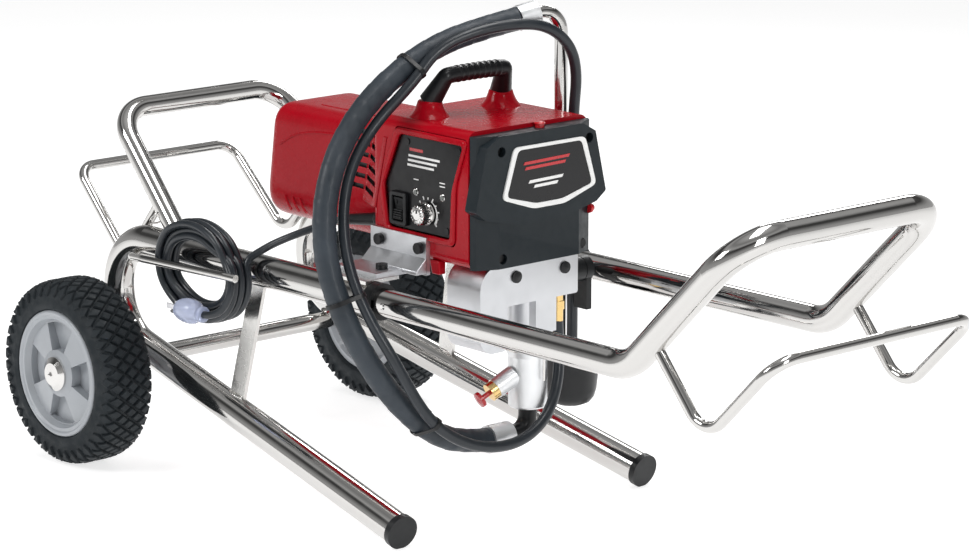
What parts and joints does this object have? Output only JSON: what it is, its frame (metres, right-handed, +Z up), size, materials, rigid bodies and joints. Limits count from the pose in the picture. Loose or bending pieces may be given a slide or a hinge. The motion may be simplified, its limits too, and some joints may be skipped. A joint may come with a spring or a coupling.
{
  "type": "airless paint sprayer",
  "caption": "Electric airless paint sprayer on a two-wheeled tube cart with a telescoping handle, piston pump, suction hose and coiled power cord.",
  "frame": {"origin": "on the floor under the middle of the whole object", "axes": "+X forward toward the telescoping handle, +Y toward the prime valve, +Z up"},
  "size_m": [1.2596, 0.5648, 0.5908],
  "materials": {
    "chrome_tube": "polished",
    "steel": "satin",
    "tyre": "moulded",
    "rim": "satin grey",
    "red_paint": "gloss",
    "red_plastic": "gloss",
    "black_plastic": "fine texture",
    "cover_grey": "fine texture",
    "badge": "gloss",
    "panel": "printed",
    "aluminium": "blasted",
    "brass": "machined",
    "hose_rubber": "ribbed wrap",
    "cord_rubber": "satin",
    "clear_plug": "clear",
    "board": "satin",
    "lens": "clear",
    "nickel": "bright",
    "black_steel": "black oxide"
  },
  "bodies": {
    "cart": {"axle": "steel", "bracket_bolts": "black_steel", "cable_ties": "black_plastic", "carry_grip": "black_plastic", "control_board": "board", "control_panel": "panel", "cord_coil": "cord_rubber", "cord_hook": "chrome_tube", "cover_badge": "badge", "cross_tube": "chrome_tube", "drip_cup": "black_plastic", "drive_bearings": "steel", "drive_housing": "red_paint", "foot_caps": "black_plastic", "frame_plates": "chrome_tube", "front_cover": "cover_grey", "front_screws": "black_plastic", "hose_ferrules": "nickel", "hub_caps": "nickel", "inlet_clip": "nickel", "inlet_elbow": "black_plastic", "inlet_housing": "nickel", "motor_can": "steel", "motor_shroud": "red_paint", "mount_brackets": "aluminium", "panel_lights": "lens", "panel_screws": "steel", "plug": "clear_plug", "power_cord": "cord_rubber", "prime_valve": "black_plastic", "pump_manifold": "aluminium", "pusher_nut": "brass", "rail_bushings": "black_plastic", "rear_hoop": "chrome_tube", "return_fitting": "brass", "return_hose": "hose_rubber", "side_tube_left": "chrome_tube", "side_tube_right": "chrome_tube", "siphon_clip": "black_plastic", "siphon_tube": "chrome_tube", "strain_relief": "black_plastic", "suction_hose": "hose_rubber"},
    "handle": {"handle": "chrome_tube"},
    "snap_button_near": {"snap_button_left": "nickel"},
    "snap_button_far": {"snap_button_right": "nickel"},
    "wheel_left": {"tyre_left": "tyre", "rim_left": "rim"},
    "wheel_right": {"tyre_right": "tyre", "rim_right": "rim"},
    "power_switch": {"switch_rocker": "black_plastic"},
    "pressure_dial": {"pressure_knob": "nickel"},
    "oiler": {"oiler_button": "red_plastic"},
    "prime_handle": {"prime_lever": "black_plastic"},
    "inlet_pusher": {"pusher_button": "red_plastic"},
    "motor_rotor": {"armature": "steel", "drive_pinion": "steel"},
    "crank_gear": {"drive_gear": "steel"},
    "plunger": {"pump_yoke": "steel", "piston": "steel"},
    "foot_valve_ball": {"inlet_ball": "steel"}
  },
  "joints": [
    {"name": "handle_slide", "type": "slide", "parent": "cart", "child": "handle", "axis": [1, 0, 0], "range_m": [-0.33, 0]},
    {"name": "snap_button_left_press", "type": "slide", "parent": "handle", "child": "snap_button_near", "axis": [0, 1, 0], "range_m": [0, 0.002], "stiffness_N_per_m": 800},
    {"name": "snap_button_right_press", "type": "slide", "parent": "handle", "child": "snap_button_far", "axis": [0, -1, 0], "range_m": [0, 0.002], "stiffness_N_per_m": 800},
    {"name": "wheel_left_spin", "type": "hinge", "parent": "cart", "child": "wheel_left", "pos_m": [-0.4676, 0, 0.1143], "axis": [0, 1, 0], "continuous": true},
    {"name": "wheel_right_spin", "type": "hinge", "parent": "cart", "child": "wheel_right", "pos_m": [-0.4676, 0, 0.1143], "axis": [0, 1, 0], "continuous": true},
    {"name": "switch_tilt", "type": "hinge", "parent": "cart", "child": "power_switch", "pos_m": [-0.0396, -0.085, 0.361], "axis": [1, 0, 0], "range_deg": [0, 12]},
    {"name": "pressure_turn", "type": "hinge", "parent": "cart", "child": "pressure_dial", "pos_m": [0.0084, -0.09, 0.362], "axis": [0, -1, 0], "range_deg": [-135, 135]},
    {"name": "oiler_press", "type": "slide", "parent": "cart", "child": "oiler", "axis": [0, 0, -1], "range_m": [0, 0.004], "stiffness_N_per_m": 600},
    {"name": "prime_turn", "type": "hinge", "parent": "cart", "child": "prime_handle", "pos_m": [0.0524, 0.115, 0.275], "axis": [0, -1, 0], "range_deg": [0, 90]},
    {"name": "inlet_push", "type": "slide", "parent": "cart", "child": "inlet_pusher", "axis": [0.1907, 0.8581, 0.4767], "range_m": [0, 0.003], "stiffness_N_per_m": 600},
    {"name": "motor_spin", "type": "hinge", "parent": "cart", "child": "motor_rotor", "pos_m": [-0.1676, 0.004, 0.384], "axis": [1, 0, 0], "continuous": true},
    {"name": "crank_spin", "type": "hinge", "parent": "cart", "child": "crank_gear", "pos_m": [-0.0076, 0.025, 0.34937], "axis": [1, 0, 0], "continuous": true},
    {"name": "plunger_stroke", "type": "slide", "parent": "cart", "child": "plunger", "axis": [0, 0, 1], "range_m": [-0.008, 0.008]},
    {"name": "foot_valve_lift", "type": "slide", "parent": "cart", "child": "foot_valve_ball", "axis": [0, 0, 1], "range_m": [0, 0.003]}
  ],
  "couplings": [
    {"joint": "crank_spin", "follows": "motor_spin", "ratio": -0.28571}
  ]
}
